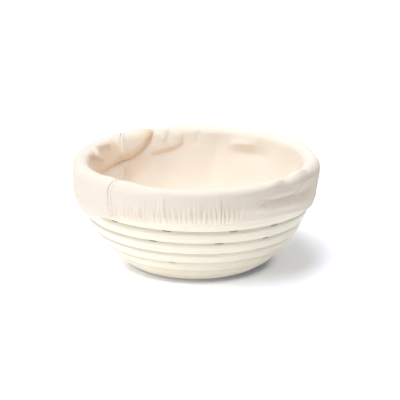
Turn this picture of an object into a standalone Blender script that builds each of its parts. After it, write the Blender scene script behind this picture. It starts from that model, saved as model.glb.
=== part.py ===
# Round proofing basket: a bowl coiled from round rattan cane, with a gathered cotton liner
# that is turned down over the rim. Metres, +Z up, origin on the floor under the bowl's axis.
# Angles round the basket are measured from the front, which faces -Y, towards +X.

import math

import bmesh
import bpy
import numpy as np
from mathutils import Vector

# Cane and coil
CANE_DIAMETER = 0.0093
TURN_GAP = 0.0007            # air between neighbouring turns
EYE_RADIUS = 0.0071          # centre line of the first bend, in the middle of the floor
FLOOR_RADIUS = 0.0429        # centre line at the floor's edge
WALL_TURNS = 8.5             # turns from the floor's edge up to the level rim
TAPER_TURNS = 0.7            # stretch of the last turn that is shaved to a point
LEAN_AT_FLOOR = 24.0         # slope of the wall where it leaves the floor, degrees
LEAN_AT_RIM = 80.3           # slope of the wall at the rim, degrees
LEAN_EASE = 1.6              # how soon the wall steepens
CORNER_TURNS = 0.6           # turns before and after the floor's edge over which the wall lifts
START_ANGLE = 142.5          # where the wall leaves the floor, degrees from the front
STEPS_PER_TURN = 24
CANE_SIDES = 6
FOOT_SHARE = 0.1             # share of the cane's diameter worn flat under the floor

# Splices between the three lengths of cane
LOWER_SPLICE_TURN = 2.9
UPPER_SPLICE_TURN = 6.0
SCARF_LENGTH = 0.014

# Liner
CLOTH = 0.0005
SEAT = 0.0003                # clearance between pieces that touch
LINER_STEPS = 48
CORNER_REACH = 0.9           # turns over which the cloth bridges the floor's corner
CORNER_RUNS = 3              # straight runs of that curve
WALL_RUNS = 5                # straight runs from there up to the rim
RIM_STEP = 30                # degrees between points of the half round over the rim
SEAM_FRONT_ANGLE = -45.0     # where the seam crosses the rim at the front
SEAM_BACK_ANGLE = -139.5     # and at the back

# Slack cloth inside, at the back left: soft folds that stand off the wall. Each runs from one
# place to another, given in degrees from the front and as a share of the wall's height
FOLD_PLACES = (((-90.0, 0.55), (-139.5, 0.62)), ((-139.5, 0.62), (-162.0, 0.95)))
FOLD_DEPTHS = (0.0032, 0.0024)
FOLD_WIDTH = 0.011
FOLD_FOOT = 0.3              # share of the height over which the folds rise out of the wall
FOLD_END = 0.93              # share of the height where they have gone again
FOLD_FADE = 0.12             # share of the height over which they go

# Turned-down edge of the liner
SKIRT_DROP = 0.0265          # from the top of the rim to the hem
SKIRT_STRAIGHT = 0.0135      # stretch below the rim that hangs plumb
SKIRT_STEPS = 96
SKIRT_RUNS = 3               # straight runs from the plumb stretch in to the elastic
SKIRT_EASE = 1.5             # how late the cloth draws in towards the elastic
GATHERS = 32
GATHER_DEPTH = 0.0011
GATHER_EASE = 1.6            # how low on the cloth the gathers are deepest
LEFT_DIP = 0.0065            # how much lower the hem hangs at the left side
LEFT_DIP_ANGLE = -82.0
LEFT_DIP_SPREAD = 38.0
RIGHT_DIP = 0.0049           # and at the right side
RIGHT_DIP_ANGLE = 86.0
RIGHT_DIP_SPREAD = 30.0
ELASTIC_WIDTH = 0.004
ELASTIC_THICKNESS = 0.0006

SHARP_ANGLE = 50             # degrees between faces past which an edge is left sharp

CANE_RADIUS = CANE_DIAMETER / 2
PITCH = CANE_DIAMETER + TURN_GAP
FLOOR_TURNS = math.floor((FLOOR_RADIUS - EYE_RADIUS) / PITCH * STEPS_PER_TURN) / STEPS_PER_TURN
LAST_TURN = math.floor((WALL_TURNS + TAPER_TURNS) * STEPS_PER_TURN) / STEPS_PER_TURN
FOOT_CUT = CANE_DIAMETER * FOOT_SHARE
FLAT_RADIUS = FLOOR_RADIUS - CORNER_TURNS * PITCH
# Turns are laid as straight runs between points, whose middles lie this much nearer the axis
RUN_SHARE = math.cos(math.pi / STEPS_PER_TURN)


def clear_scene():
    for item in list(bpy.data.objects):
        bpy.data.objects.remove(item)


def lean(turn):
    # Slope of the wall at a turn: flat on the floor, easing into a wall that steepens
    share = np.clip(1 - np.asarray(turn) / WALL_TURNS, 0, 1)
    slope = LEAN_AT_RIM - (LEAN_AT_RIM - LEAN_AT_FLOOR) * share ** LEAN_EASE
    lift = np.clip((np.asarray(turn) + CORNER_TURNS) / (2 * CORNER_TURNS), 0, 1)
    return np.radians(slope * lift * lift * (3 - 2 * lift))


def wall_table():
    # The wall's centre line as radius and height against turns from the floor's edge
    turns = np.linspace(-CORNER_TURNS, WALL_TURNS + 2, 2400)
    step = (turns[1] - turns[0]) * PITCH
    middle = lean((turns[1:] + turns[:-1]) / 2)
    radius = FLAT_RADIUS + np.concatenate([[0], np.cumsum(np.cos(middle) * step)])
    height = CANE_RADIUS - FOOT_CUT + np.concatenate([[0], np.cumsum(np.sin(middle) * step)])
    return turns, radius, height


WALL = wall_table()


def centre_line(turn):
    # Radius and height of the coil's centre line: a flat spiral, then the wall
    if turn <= -CORNER_TURNS:
        return FLAT_RADIUS + (turn + CORNER_TURNS) * PITCH, float(WALL[2][0])
    return float(np.interp(turn, WALL[0], WALL[1])), float(np.interp(turn, WALL[0], WALL[2]))


RIM_RADIUS, RIM_HEIGHT = centre_line(WALL_TURNS)
OUTER_RADIUS = RIM_RADIUS + CANE_RADIUS
RIM_TOP = RIM_HEIGHT + CANE_RADIUS
HEM = RIM_TOP + SEAT + CLOTH - SKIRT_DROP
CASING_TOP = HEM + CLOTH + SEAT * 2 + ELASTIC_WIDTH


def outside_radius(height):
    # Radius of the wall's outer face at a height, over the swell of the turns
    slope = lean(WALL[0])
    face_radius = WALL[1] + CANE_RADIUS * np.sin(slope)
    face_height = WALL[2] - CANE_RADIUS * np.cos(slope)
    return np.interp(height, face_height, face_radius)


def cane_share(turn):
    # The last turn is shaved as fast as it climbs, so the rim comes out level
    return 1 - max(0.0, turn - WALL_TURNS) * PITCH / CANE_DIAMETER


def coil_point(turn):
    share = cane_share(turn)
    seat = turn
    if turn > WALL_TURNS:
        seat = turn - 1 + (CANE_RADIUS * (1 + share) + TURN_GAP) / PITCH
    radius, height = centre_line(seat)
    angle = math.radians(START_ANGLE) - turn * 2 * math.pi
    return Vector((radius * math.sin(angle), -radius * math.cos(angle), height))


def step_point(step):
    return coil_point(step / STEPS_PER_TURN)


def material(name, colour, roughness):
    made = bpy.data.materials.new(name)
    made.use_nodes = True
    shader = made.node_tree.nodes["Principled BSDF"]
    shader.inputs["Base Color"].default_value = (*colour, 1.0)
    shader.inputs["Roughness"].default_value = roughness
    shader.inputs["Metallic"].default_value = 0.0
    return made


def collection(name):
    made = bpy.data.collections.new(name)
    bpy.context.scene.collection.children.link(made)
    return made


def add_object(name, data, group, finish=None):
    made = bpy.data.objects.new(name, data)
    group.objects.link(made)
    if finish is not None:
        data.materials.append(finish)
    return made


def evaluated_mesh(source):
    bpy.context.view_layer.update()
    return bpy.data.meshes.new_from_object(source.evaluated_get(bpy.context.evaluated_depsgraph_get()))


def weld(mesh, distance=1e-6):
    work = bmesh.new()
    work.from_mesh(mesh)
    bmesh.ops.remove_doubles(work, verts=work.verts, dist=distance)
    bmesh.ops.recalc_face_normals(work, faces=work.faces)
    work.to_mesh(mesh)
    work.free()


def cane_mesh(name, points, shares, group):
    curve = bpy.data.curves.new(name, "CURVE")
    curve.dimensions = "3D"
    curve.twist_mode = "Z_UP"
    curve.bevel_depth = CANE_RADIUS
    curve.bevel_resolution = (CANE_SIDES - 4) // 2
    curve.use_fill_caps = True
    spline = curve.splines.new("POLY")
    spline.points.add(len(points) - 1)
    for knot, place, share in zip(spline.points, points, shares):
        knot.co = (*place, 1.0)
        knot.radius = share
        knot.tilt = math.pi / CANE_SIDES     # a corner of the section points straight down
    guide = bpy.data.objects.new(name + "_path", curve)
    group.objects.link(guide)
    mesh = evaluated_mesh(guide)
    bpy.data.objects.remove(guide)
    weld(mesh)
    mesh.name = name
    return mesh


def shear_end(mesh, end, along, across):
    # Slants a square end into a scarf: across is the direction in which the cut runs off
    slant = SCARF_LENGTH / CANE_DIAMETER
    for vertex in mesh.vertices:
        offset = vertex.co - end
        if offset.length < CANE_DIAMETER and abs(offset.dot(along)) < 1e-5:
            vertex.co += along * (offset.dot(across) * slant)


def splice_step(turn):
    # A splice lies in the middle of a straight run, where both ends share one direction
    return math.floor(turn * STEPS_PER_TURN) + 0.5


def splice_frame(step):
    before = step_point(math.floor(step))
    after = step_point(math.floor(step) + 1)
    along = (after - before).normalized()
    middle = (before + after) / 2
    outward = Vector((middle.x, middle.y, 0)).normalized()
    slope = float(lean(step / STEPS_PER_TURN))
    up_wall = Vector((0, 0, 1)) * math.sin(slope) + outward * math.cos(slope)
    across = (up_wall - along * up_wall.dot(along)).normalized()
    return middle, along, across


def cane_length(name, first, last, group, finish):
    # One length of cane from step to step; a half step marks a scarfed end
    scarf_angle = math.atan2(CANE_DIAMETER, SCARF_LENGTH)
    half_gap = SEAT / 2 / math.sin(scarf_angle)
    steps = list(range(math.ceil(first), math.floor(last) + 1))
    points = [step_point(step) for step in steps]
    shares = [cane_share(step / STEPS_PER_TURN) for step in steps]
    cuts = []
    if first != steps[0]:
        middle, along, across = splice_frame(first)
        end = middle + along * half_gap
        points.insert(0, end)
        shares.insert(0, 1.0)
        cuts.append((end, along, across))
    if last != steps[-1]:
        middle, along, across = splice_frame(last)
        end = middle - along * half_gap
        points.append(end)
        shares.append(1.0)
        cuts.append((end, along, across))
    mesh = cane_mesh(name, points, shares, group)
    for cut in cuts:
        shear_end(mesh, *cut)
    return add_object(name, mesh, group, finish)


def print_least_gap():
    # Distance between stretches of the coil that lie half a turn or more apart
    half = STEPS_PER_TURN // 2
    steps = np.arange(-round(FLOOR_TURNS * STEPS_PER_TURN) * 2, round(LAST_TURN * STEPS_PER_TURN) * 2 + 1)
    places = []
    radii = []
    for step in steps:
        low = step_point(math.floor(step / 2))
        high = step_point(math.ceil(step / 2))
        places.append((low + high) / 2)
        radii.append(CANE_RADIUS * cane_share(step / 2 / STEPS_PER_TURN))
    places = np.array(places)
    radii = np.array(radii)
    gaps = []
    for i in range(len(steps) - 2 * half):
        others = slice(i + 2 * half, None)
        apart = np.linalg.norm(places[others] - places[i], axis=1)
        gaps.append(np.min(apart - radii[others]) - radii[i])
    least = float(min(gaps))
    length = float(np.sum(np.linalg.norm(np.diff(places, axis=0), axis=1)))
    print(f"coil: {FLOOR_TURNS + LAST_TURN:.2f} turns, {length:.2f} m of cane, "
          f"least gap to itself {least * 1000:.2f} mm")


def make_canes(group, cutters, finish):
    first = -round(FLOOR_TURNS * STEPS_PER_TURN)
    last = round(LAST_TURN * STEPS_PER_TURN)
    lower = splice_step(LOWER_SPLICE_TURN)
    upper = splice_step(UPPER_SPLICE_TURN)
    base = cane_length("base_cane", first, lower, group, finish)
    wall = cane_length("wall_cane", lower, upper, group, finish)
    rim = cane_length("rim_cane", upper, last, group, finish)

    worn = box_cutter("worn_foot", 4 * FLOOR_RADIUS, 4 * FLOOR_RADIUS, CANE_DIAMETER, cutters)
    worn.location = (0, 0, -CANE_DIAMETER / 2)
    subtract(base, worn)
    return [base, wall, rim]


def box_cutter(name, width, depth, height, group):
    mesh = bpy.data.meshes.new(name)
    work = bmesh.new()
    bmesh.ops.create_cube(work, size=1.0)
    bmesh.ops.scale(work, vec=(width, depth, height), verts=work.verts)
    work.to_mesh(mesh)
    work.free()
    made = add_object(name, mesh, group)
    made.hide_render = True
    made.display_type = "WIRE"
    return made


def subtract(target, cutter):
    cut = target.modifiers.new(cutter.name, "BOOLEAN")
    cut.operation = "DIFFERENCE"
    cut.object = cutter
    cut.solver = "EXACT"


def turned_mesh(name, profile, steps, group, closed=False):
    # A profile of radius and height pairs, turned once round the axis
    mesh = bpy.data.meshes.new(name)
    edges = [(i, i + 1) for i in range(len(profile) - 1)]
    if closed:
        edges.append((len(profile) - 1, 0))
    mesh.from_pydata([(radius, 0, height) for radius, height in profile], edges, [])
    guide = bpy.data.objects.new(name + "_profile", mesh)
    group.objects.link(guide)
    turn = guide.modifiers.new("turn", "SCREW")
    turn.steps = steps
    turn.render_steps = steps
    turn.use_merge_vertices = True
    turn.merge_threshold = 1e-6
    made = evaluated_mesh(guide)
    bpy.data.objects.remove(guide)
    weld(made)
    made.name = name
    return made


def bowl_profile():
    # Middle of the cloth inside the bowl and over the rim, from the centre outwards
    offset = CANE_RADIUS + SEAT + CLOTH / 2
    points = []
    floor_height = float(WALL[2][0]) + offset
    bend = centre_line(-CORNER_REACH)[0] * RUN_SHARE
    points.append((0.0, floor_height))
    points.append((bend / 2, floor_height))

    def inside(turn):
        radius, height = centre_line(turn)
        slope = float(lean(turn))
        inner = (radius - CANE_RADIUS * math.sin(slope)) * RUN_SHARE
        return Vector((inner - (SEAT + CLOTH / 2) * math.sin(slope), height + offset * math.cos(slope)))

    # The cloth bridges the corner between floor and wall in an easy curve
    start = Vector((bend, floor_height))
    end = inside(CORNER_REACH * 2)
    slope = float(lean(CORNER_REACH * 2))
    corner = Vector((end.x - (end.y - floor_height) / math.tan(slope), floor_height))
    for run in range(CORNER_RUNS + 1):
        share = run / CORNER_RUNS
        knot = start * (1 - share) ** 2 + corner * 2 * share * (1 - share) + end * share ** 2
        points.append((knot.x, knot.y))
    for turn in np.linspace(CORNER_REACH * 2, WALL_TURNS, WALL_RUNS + 1)[1:-1]:
        knot = inside(float(turn))
        points.append((knot.x, knot.y))

    centre, half_width, arch_height = rim_arch()
    for angle in range(180, -1, -RIM_STEP):
        way = math.radians(angle)
        points.append((centre + half_width * math.cos(way), arch_height + half_width * math.sin(way)))
    return points


def rim_arch():
    # The cloth crosses the rim in a half round: its centre, radius and height of the centre
    inner = (RIM_RADIUS - CANE_RADIUS) * RUN_SHARE - SEAT - CLOTH / 2
    outer = RIM_RADIUS + CANE_RADIUS + SEAT + CLOTH / 2
    half_width = (outer - inner) / 2
    arch_height = RIM_TOP + SEAT + CLOTH / 2 - half_width
    return (outer + inner) / 2, half_width, arch_height


def thicken(target, thickness):
    shell = target.modifiers.new("thickness", "SOLIDIFY")
    shell.thickness = thickness
    shell.offset = 0.0
    shell.use_even_offset = True


def rim_point(angle, radius):
    way = math.radians(angle)
    return Vector((radius * math.sin(way), -radius * math.cos(way), 0))


def prism(name, outline, bottom, top, group):
    curve = bpy.data.curves.new(name, "CURVE")
    curve.dimensions = "2D"
    curve.fill_mode = "BOTH"
    curve.extrude = (top - bottom) / 2
    spline = curve.splines.new("POLY")
    spline.points.add(len(outline) - 1)
    for knot, place in zip(spline.points, outline):
        knot.co = (place.x, place.y, 0, 1)
    spline.use_cyclic_u = True
    guide = bpy.data.objects.new(name + "_outline", curve)
    group.objects.link(guide)
    guide.location = (0, 0, (top + bottom) / 2)
    mesh = evaluated_mesh(guide)
    place = guide.matrix_world.copy()
    bpy.data.objects.remove(guide)
    weld(mesh)
    made = add_object(name, mesh, group)
    made.matrix_world = place
    made.hide_render = True
    made.display_type = "WIRE"
    return made


def limited(share):
    return min(1.0, max(0.0, share))


def wall_place(angle, rise):
    # A place on the wall laid out flat: length round the rim, and height
    return Vector((math.radians(angle) * RIM_RADIUS, rise * RIM_HEIGHT))


def fold_depth(angle, height):
    # How far the slack cloth stands off the wall at a place
    rise = (height - WALL[2][0]) / (RIM_HEIGHT - WALL[2][0])
    place = wall_place(angle, rise)
    depth = 0.0
    for (first, second), crest in zip(FOLD_PLACES, FOLD_DEPTHS):
        start = wall_place(*first)
        way = wall_place(*second) - start
        share = limited((place - start).dot(way) / way.length_squared)
        miss = (place - start - way * share).length
        depth += crest * math.exp(-(miss / FOLD_WIDTH) ** 2)
    return depth * limited((FOLD_END - rise) / FOLD_FADE) * limited(rise / FOLD_FOOT)


def make_liner(group, cutters, finish):
    mesh = turned_mesh("liner_bowl", bowl_profile(), LINER_STEPS, group)
    for vertex in mesh.vertices:
        radius = math.hypot(vertex.co.x, vertex.co.y)
        if radius < FLOOR_RADIUS / 2:
            continue
        angle = math.degrees(math.atan2(vertex.co.x, -vertex.co.y))
        share = 1 - fold_depth(angle, vertex.co.z) / radius
        vertex.co.x *= share
        vertex.co.y *= share
    main = add_object("liner_main_panel", mesh, group, finish)
    side = add_object("liner_side_panel", mesh.copy(), group)
    reach = 2 * OUTER_RADIUS
    front = rim_point(SEAM_FRONT_ANGLE, RIM_RADIUS)
    back = rim_point(SEAM_BACK_ANGLE, RIM_RADIUS)
    along = (front - back).normalized()
    leftward = Vector((along.y, -along.x, 0))
    if leftward.x > 0:
        leftward = -leftward
    # Each panel loses what lies on the other side of the seam
    for panel, away in ((main, leftward), (side, -leftward)):
        thicken(panel, CLOTH)
        near = away * (-SEAT / 2)
        far = away * reach
        ends = (front + along * reach, back - along * reach)
        waste = [ends[0] + near, ends[1] + near, ends[1] + far, ends[0] + far]
        subtract(panel, prism(panel.name + "_waste", waste, -OUTER_RADIUS, 3 * OUTER_RADIUS, cutters))
    return [main, side]


def skirt_profile():
    # Middle of the cloth from just under the rim's arch to the hem, round the elastic and up
    arch_centre, half_width, arch_height = rim_arch()
    outer = arch_centre + half_width
    top = arch_height - SEAT
    layer = CLOTH / 2 + SEAT + ELASTIC_THICKNESS + SEAT + CLOTH / 2
    bottom = HEM + CLOTH / 2

    def on_wall(height, offset):
        return float(outside_radius(height)) + SEAT + CLOTH / 2 + offset

    plumb_end = RIM_TOP - SKIRT_STRAIGHT
    points = [(outer, top), (outer, (top + plumb_end) / 2), (outer, plumb_end)]
    inward = on_wall(CASING_TOP, layer) - outer
    downward = CASING_TOP - plumb_end
    for run in range(1, SKIRT_RUNS + 1):
        share = run / SKIRT_RUNS
        points.append((outer + inward * share ** SKIRT_EASE, plumb_end + downward * share))
    # The hem turns up behind the elastic, a quarter of its thickness to each rounded corner
    points.append((on_wall(bottom, layer), bottom + SEAT))
    points.append((on_wall(bottom, layer * 3 / 4), bottom))
    points.append((on_wall(bottom, layer / 4), bottom))
    points.append((on_wall(bottom, 0), bottom + SEAT))
    points.append((on_wall(CASING_TOP, 0), CASING_TOP))
    return points


def hem_dip(angle):
    # The hem hangs lower at both sides than at the front and the back
    left = LEFT_DIP * math.exp(-((angle - LEFT_DIP_ANGLE) / LEFT_DIP_SPREAD) ** 2)
    right = RIGHT_DIP * math.exp(-((angle - RIGHT_DIP_ANGLE) / RIGHT_DIP_SPREAD) ** 2)
    return left + right


def shape_skirt(mesh, waves):
    # Lowers the hem to its dips, keeps it on the wall, and draws the cloth into gathers
    top = RIM_TOP - SKIRT_STRAIGHT
    for vertex in mesh.vertices:
        radius = math.hypot(vertex.co.x, vertex.co.y)
        way = math.atan2(vertex.co.x, -vertex.co.y)
        height = vertex.co.z
        share = limited((top - height) / (top - CASING_TOP))
        lowered = height - hem_dip(math.degrees(way)) * share
        slide = (float(outside_radius(lowered)) - float(outside_radius(height))) * share
        wave = 0.0
        if waves and 0 < share < 1:
            wave = GATHER_DEPTH * math.sin(math.pi * share ** GATHER_EASE) * math.cos(way * GATHERS)
        grown = (radius + slide + wave) / radius
        vertex.co = Vector((vertex.co.x * grown, vertex.co.y * grown, lowered))


def make_skirt(group, cutters, finish):
    mesh = turned_mesh("skirt", skirt_profile(), SKIRT_STEPS, group)
    shape_skirt(mesh, waves=True)
    main = add_object("skirt_main_panel", mesh, group, finish)
    side = add_object("skirt_side_panel", mesh.copy(), group)
    reach = 2 * OUTER_RADIUS
    front = rim_point(SEAM_FRONT_ANGLE, reach)
    back = rim_point(SEAM_BACK_ANGLE, reach)
    middle_angle = (SEAM_FRONT_ANGLE + SEAM_BACK_ANGLE) / 2
    half_wedge = math.radians(SEAM_FRONT_ANGLE - SEAM_BACK_ANGLE) / 2
    corner = rim_point(middle_angle, 2 * reach)
    right = Vector((2 * reach, 0, 0))
    clear = rim_point(middle_angle, SEAT / 2 / math.sin(half_wedge))
    side_outline = [-clear, front - clear, corner, back - clear]
    rest_outline = [clear, back + clear, back + clear + right, front + clear + right, front + clear]
    bottom = -OUTER_RADIUS
    top = 3 * OUTER_RADIUS
    thicken(main, CLOTH)
    thicken(side, CLOTH)
    subtract(main, prism("skirt_side_waste", side_outline, bottom, top, cutters))
    subtract(side, prism("skirt_main_waste", rest_outline, bottom, top, cutters))
    return [main, side]


def make_elastic(group, finish):
    low = HEM + CLOTH + SEAT
    high = low + ELASTIC_WIDTH
    inset = SEAT + CLOTH + SEAT

    def face(height, depth):
        return float(outside_radius(height)) + inset + depth, height

    profile = [face(low, 0), face(high, 0), face(high, ELASTIC_THICKNESS), face(low, ELASTIC_THICKNESS)]
    mesh = turned_mesh("hem_elastic", profile, SKIRT_STEPS, group, closed=True)
    shape_skirt(mesh, waves=False)
    return add_object("hem_elastic", mesh, group, finish)


def smooth(piece):
    piece.data.shade_smooth()
    piece.data.set_sharp_from_angle(angle=math.radians(SHARP_ANGLE))


def main():
    clear_scene()
    group = collection("proofing_basket")
    cutters = collection("cutters")
    cane = material("rattan_cane", (0.86, 0.80, 0.68), 0.55)
    cotton = material("cotton_cloth", (0.90, 0.78, 0.68), 0.92)
    rubber = material("elastic_band", (0.88, 0.86, 0.82), 0.8)

    basket = bpy.data.objects.new("basket", None)
    liner = bpy.data.objects.new("liner", None)
    group.objects.link(basket)
    group.objects.link(liner)

    canes = make_canes(group, cutters, cane)
    cloth = make_liner(group, cutters, cotton)
    cloth += make_skirt(group, cutters, cotton)
    cloth.append(make_elastic(group, rubber))
    for piece in canes:
        smooth(piece)
        piece.parent = basket
    for piece in cloth:
        smooth(piece)
        piece.parent = liner

    print_least_gap()
    print(f"basket {OUTER_RADIUS * 2000:.1f} mm across, rim {RIM_TOP * 1000:.1f} mm high")


main()
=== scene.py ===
import math

import bmesh
import bpy
import numpy as np
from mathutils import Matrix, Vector


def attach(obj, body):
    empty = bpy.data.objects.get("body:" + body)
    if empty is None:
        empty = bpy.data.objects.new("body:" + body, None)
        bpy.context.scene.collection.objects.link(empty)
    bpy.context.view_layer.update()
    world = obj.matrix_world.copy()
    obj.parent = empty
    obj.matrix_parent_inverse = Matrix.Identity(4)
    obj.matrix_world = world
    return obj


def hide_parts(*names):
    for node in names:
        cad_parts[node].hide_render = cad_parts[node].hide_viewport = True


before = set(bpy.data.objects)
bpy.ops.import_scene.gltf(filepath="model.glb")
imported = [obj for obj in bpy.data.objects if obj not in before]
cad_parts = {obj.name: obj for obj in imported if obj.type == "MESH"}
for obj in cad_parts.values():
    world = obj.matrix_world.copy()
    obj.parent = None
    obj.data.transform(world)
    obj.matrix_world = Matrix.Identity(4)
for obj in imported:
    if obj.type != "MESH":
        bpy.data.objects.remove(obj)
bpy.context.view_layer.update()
scene = bpy.context.scene
scene.view_settings.view_transform = "Standard"

cameraValues = {
    "elevation": 17.0,       # degrees above the floor
    "distance": 1.8,
    "aimX": 0.0028,
    "aimZ": 0.0456,
    "lens": 219.8,
}

lightValues = {
    "lamps": {               # angle from the front, elevation, distance, size, power and colour
        "key": (-86.0, 73.0, 1.5, 0.36, 10.3, (0.965, 1.0, 1.03)),
        "top": (-32.0, 66.0, 1.5, 0.9, 6.8, (0.98, 1.0, 1.02)),
        "fill": (-30.0, 2.0, 1.5, 0.30, 2.5, (1.0, 0.98, 0.95)),
        "mouth": (104.0, 76.0, 0.34, 0.10, 0.195, (1.0, 0.99, 0.97)),  # lights the inside alone
    },
    "sky": 0.23,             # even light from all round
    "skyColour": (1.0, 0.985, 0.965),
    "floorColour": 0.92,
    "floorHalf": 4.0,
    "floorGlow": (0.45, 0.22),  # the table is lit from below as well, less on the shadow's side
    "glowSpan": (-0.06, 0.10),  # x from which the glow falls to its lower value, and where it ends
    "glowColour": (1.0, 0.98, 0.95),
    "floorSeen": 2.3,        # the floor as the camera sees it, bright enough to turn white
    "seenColour": (0.96, 1.0, 1.09),
    "shadowColour": (0.0, 0.01, 0.05),
    # Painted shadow in the floor's seen colour, over the real one: how far from the basket it deepens,
    # by which share and towards which side
    "paintedContactShadows": ((0.074, 0.47, (-0.8, 0.1, 0.6)), (0.007, 0.85, (-0.55, 0.35, 0.80))),
    "paintedShadowSamples": 16,
}


# Short helpers for objects, materials and node trees

def addObject(name, data):
    made = bpy.data.objects.new(name, data)
    scene.collection.objects.link(made)
    return made


def ringPoints(way, radius, height):
    # Points round the basket at an angle in radians from the front
    return np.stack([radius * np.sin(way), -radius * np.cos(way), height], axis=-1)


def unit(vectors):
    return vectors / np.linalg.norm(vectors, axis=-1, keepdims=True)


def runningSum(steps):
    return np.concatenate([[0], np.cumsum(steps)])


def wrapAngle(angle):
    # The same angle between -180 and 180 degrees
    return (angle + 180) % 360 - 180


def ease(value):
    # Rises softly from 0 to 1 with the value, and stays there beyond
    held = np.clip(value, 0, 1)
    return held * held * (3 - 2 * held)


def bell(offset, reach):
    return np.exp(-(offset / reach) ** 2)


def newMesh(name, points, edges, faces):
    mesh = bpy.data.meshes.new(name)
    mesh.from_pydata([tuple(point) for point in points], edges, faces)
    return mesh


def bakeMesh(guide):
    # What a guide's curve or nodes make, as a mesh of its own. The guide is removed
    bpy.context.view_layer.update()
    mesh = bpy.data.meshes.new_from_object(guide.evaluated_get(bpy.context.evaluated_depsgraph_get()))
    bpy.data.objects.remove(guide)
    return mesh


def storeValues(mesh, label, values):
    # Keeps a number or a vector for each point of a mesh
    values = np.asarray(values, np.float32)
    kind, field = ("FLOAT", "value") if values.ndim == 1 else ("FLOAT_VECTOR", "vector")
    mesh.attributes.new(label, kind, "POINT").data.foreach_set(field, values.ravel())


def addNode(tree, kind, inputs=None, **settings):
    # A node with its settings and inputs. An input that is a node takes that node's first
    # output, an output is linked, and anything else is set as the input's value
    node = tree.nodes.new(kind)
    for name, value in settings.items():
        setattr(node, name, value)
    for name, value in (inputs or {}).items():
        if isinstance(value, bpy.types.Node):
            value = value.outputs[0]
        if isinstance(value, bpy.types.NodeSocket):
            tree.links.new(value, node.inputs[name])
        else:
            node.inputs[name].default_value = value
    return node


def addMath(tree, operation, *inputs):
    return addNode(tree, "ShaderNodeMath", dict(enumerate(inputs)), operation=operation).outputs[0]


def addAttribute(tree, name, output):
    return addNode(tree, "ShaderNodeAttribute", attribute_name=name).outputs[output]


def addNoise(tree, place, scale, detail=4.0):
    node = addNode(tree, "ShaderNodeTexNoise", {"Vector": place, "Scale": scale, "Detail": detail})
    return node.outputs["Fac"]


def addTint(tree, factor, span, lowColour, highColour):
    # One colour up to the start of the span, the other from its end
    node = addNode(tree, "ShaderNodeValToRGB", {0: factor})
    for stop, place, colour in zip(node.color_ramp.elements, span, (lowColour, highColour)):
        stop.position = place
        stop.color = (*colour, 1)
    return node.outputs[0]


def addMix(tree, factor, first, second):
    # The colours are the node's inputs 6 and 7, and their mix is its output 2
    mix = addNode(tree, "ShaderNodeMix", {0: factor, 6: first, 7: second}, data_type="RGBA")
    return mix.outputs[2]


def addBump(tree, height, distance, shader, strength=0.5):
    bump = addNode(tree, "ShaderNodeBump", {
        "Height": height, "Strength": strength, "Distance": distance})
    tree.links.new(bump.outputs[0], shader.inputs["Normal"])


def objectPlace(tree):
    return addNode(tree, "ShaderNodeTexCoord").outputs["Object"]


def newMaterial(name, colour, roughness):
    material = bpy.data.materials.new(name)
    material.use_nodes = True
    tree = material.node_tree
    shader = tree.nodes["Principled BSDF"]
    shader.inputs["Base Color"].default_value = (*colour, 1)
    shader.inputs["Roughness"].default_value = roughness
    return material, tree, shader


def wayTo(angle, elevation):
    turn = math.radians(angle)
    rise = math.radians(elevation)
    return Vector((math.sin(turn) * math.cos(rise), -math.cos(turn) * math.cos(rise), math.sin(rise)))


def makeCamera(values):
    back = wayTo(0.0, values["elevation"])
    data = bpy.data.cameras.new("camera")
    data.lens = values["lens"]
    data.clip_end = 20
    camera = addObject("camera", data)
    camera.location = Vector((values["aimX"], 0, values["aimZ"])) + back * values["distance"]
    camera.rotation_euler = back.to_track_quat("Z", "Y").to_euler()
    scene.camera = camera


def rayIsSeen(tree):
    # 1 for the rays that see the background: straight, mirrored or through glass
    path = addNode(tree, "ShaderNodeLightPath")
    total = path.outputs["Is Camera Ray"]
    for name in ("Is Glossy Ray", "Is Transmission Ray"):
        total = addMath(tree, "MAXIMUM", total, path.outputs[name])
    return total


def makeLight(values):
    for name, (angle, elevation, distance, size, power, colour) in values["lamps"].items():
        way = wayTo(angle, elevation)
        data = bpy.data.lights.new(name, "AREA")
        data.shape = "DISK"
        data.size = size
        data.energy = power
        data.color = colour
        lamp = addObject(name, data)
        lamp.location = way * distance
        lamp.rotation_euler = way.to_track_quat("Z", "Y").to_euler()

    world = bpy.data.worlds.new("studio")
    world.use_nodes = True
    scene.world = world
    tree = world.node_tree
    sky = tree.nodes["Background"]
    sky.inputs["Strength"].default_value = values["sky"]
    sky.inputs["Color"].default_value = (*values["skyColour"], 1)
    white = addNode(tree, "ShaderNodeBackground", {"Strength": 1.0, "Color": (1, 1, 1, 1)})
    mix = addNode(tree, "ShaderNodeMixShader", {0: rayIsSeen(tree), 1: sky, 2: white})
    tree.links.new(mix.outputs[0], tree.nodes["World Output"].inputs["Surface"])


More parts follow.
